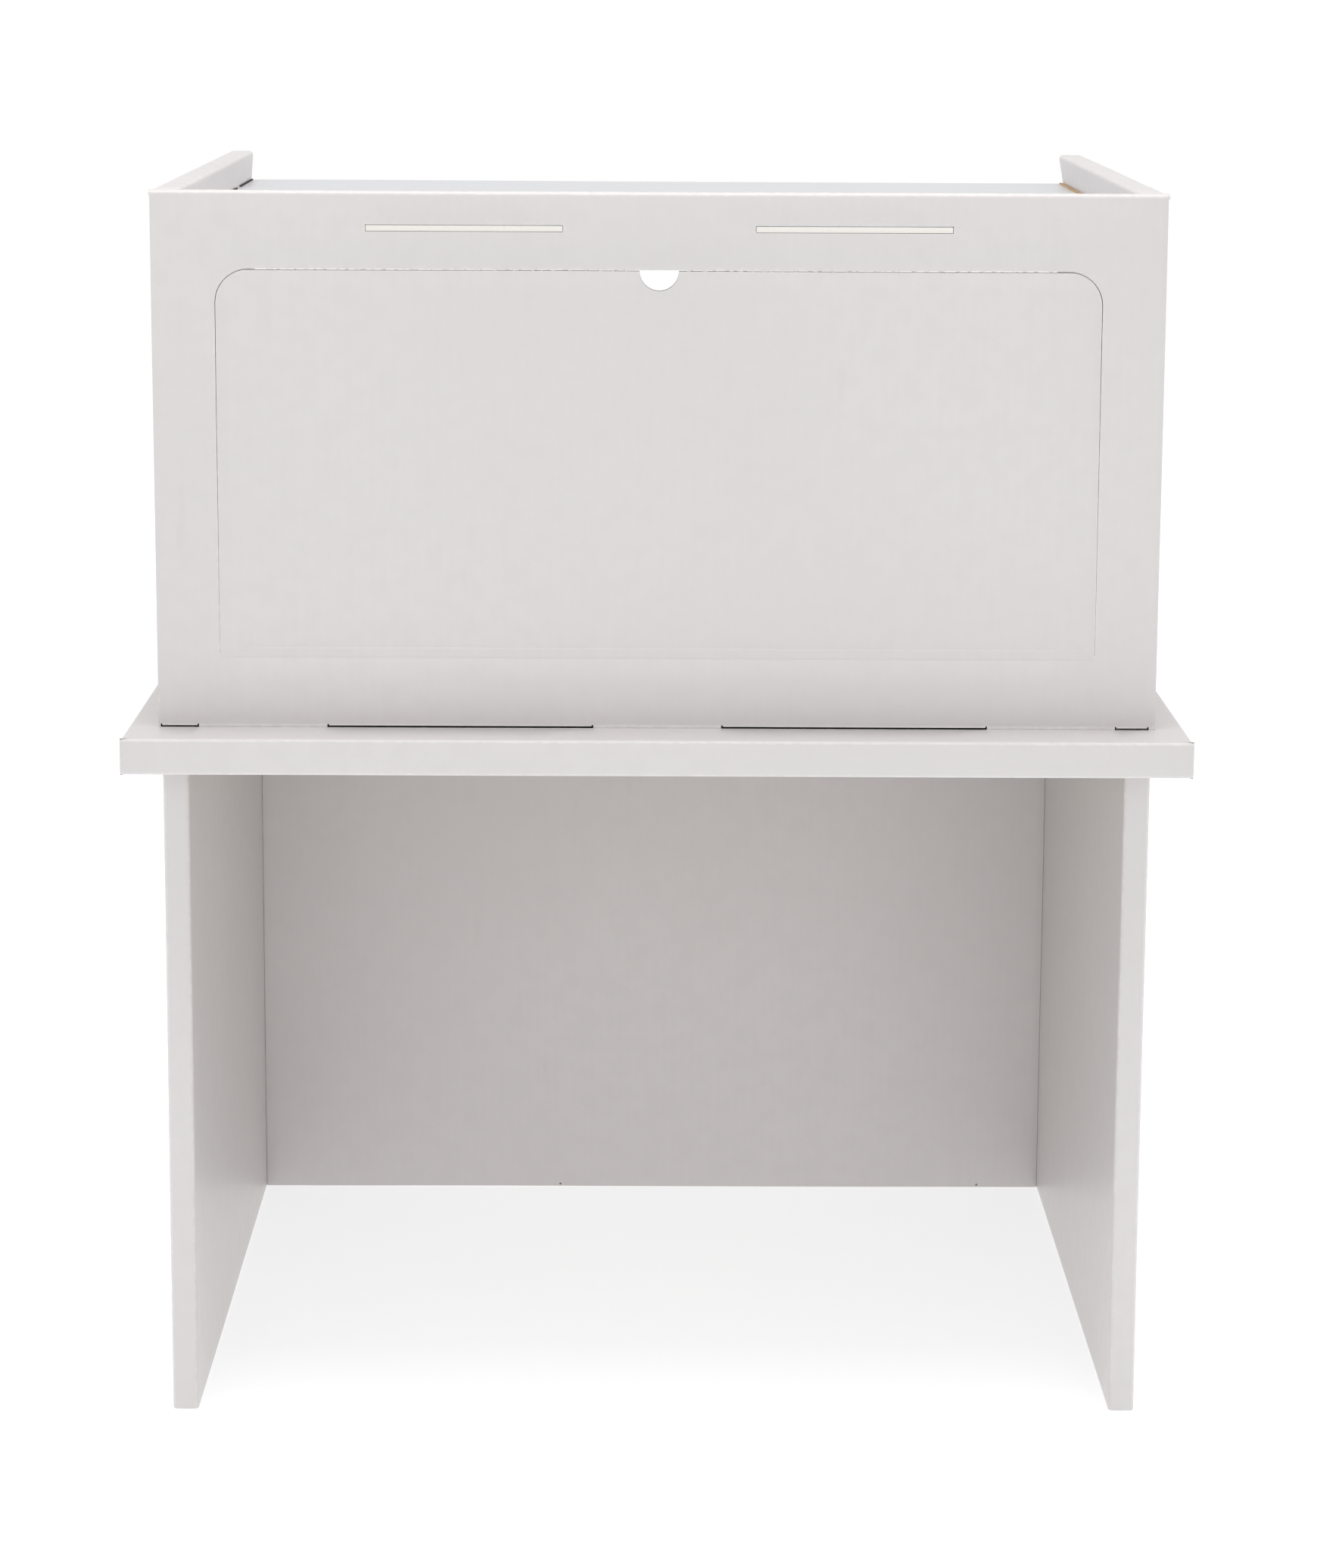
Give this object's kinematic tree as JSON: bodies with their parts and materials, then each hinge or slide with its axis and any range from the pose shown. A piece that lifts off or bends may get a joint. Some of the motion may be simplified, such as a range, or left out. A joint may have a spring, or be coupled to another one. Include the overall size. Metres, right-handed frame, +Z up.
{
  "type": "desk",
  "caption": "Folded corrugated-board desk on hollow panel legs, with a box hutch that has a drop-down front flap and a recessed top shelf between rails.",
  "frame": {"origin": "on the floor, under the middle of the tabletop", "axes": "+Z up, +X to the right as seen from the front, -Y towards the person at the desk"},
  "size_m": [0.76, 0.61, 0.906],
  "materials": {
    "coated_board": "satin coated, light warm grey",
    "gloss_board": "glossy coated, white",
    "uncoated_board": "uncoated, cream white",
    "kraft_board": "raw brown kraft"
  },
  "bodies": {
    "desk": {"tabletop_tray": "coated_board", "underside_panel": "uncoated_board", "long_rib_front": "kraft_board", "long_rib_middle": "kraft_board", "long_rib_back": "kraft_board", "cross_rib_left": "kraft_board", "cross_rib_middle": "kraft_board", "cross_rib_right": "kraft_board", "left_leg": "coated_board", "right_leg": "coated_board", "left_leg_core": "kraft_board", "right_leg_core": "kraft_board", "back_panel": "coated_board", "back_panel_core": "kraft_board", "hutch_front_wall": "coated_board", "hutch_left_side": "coated_board", "hutch_right_side": "coated_board", "hutch_left_core": "kraft_board", "hutch_right_core": "kraft_board", "top_shelf": "gloss_board"},
    "flap": {"drop_flap": "coated_board"}
  },
  "joints": [
    {"name": "flap_crease", "type": "hinge", "parent": "desk", "child": "flap", "pos_m": [0, -0.259, 0.5765], "axis": [1, 0, 0], "range_deg": [0, 139]}
  ]
}
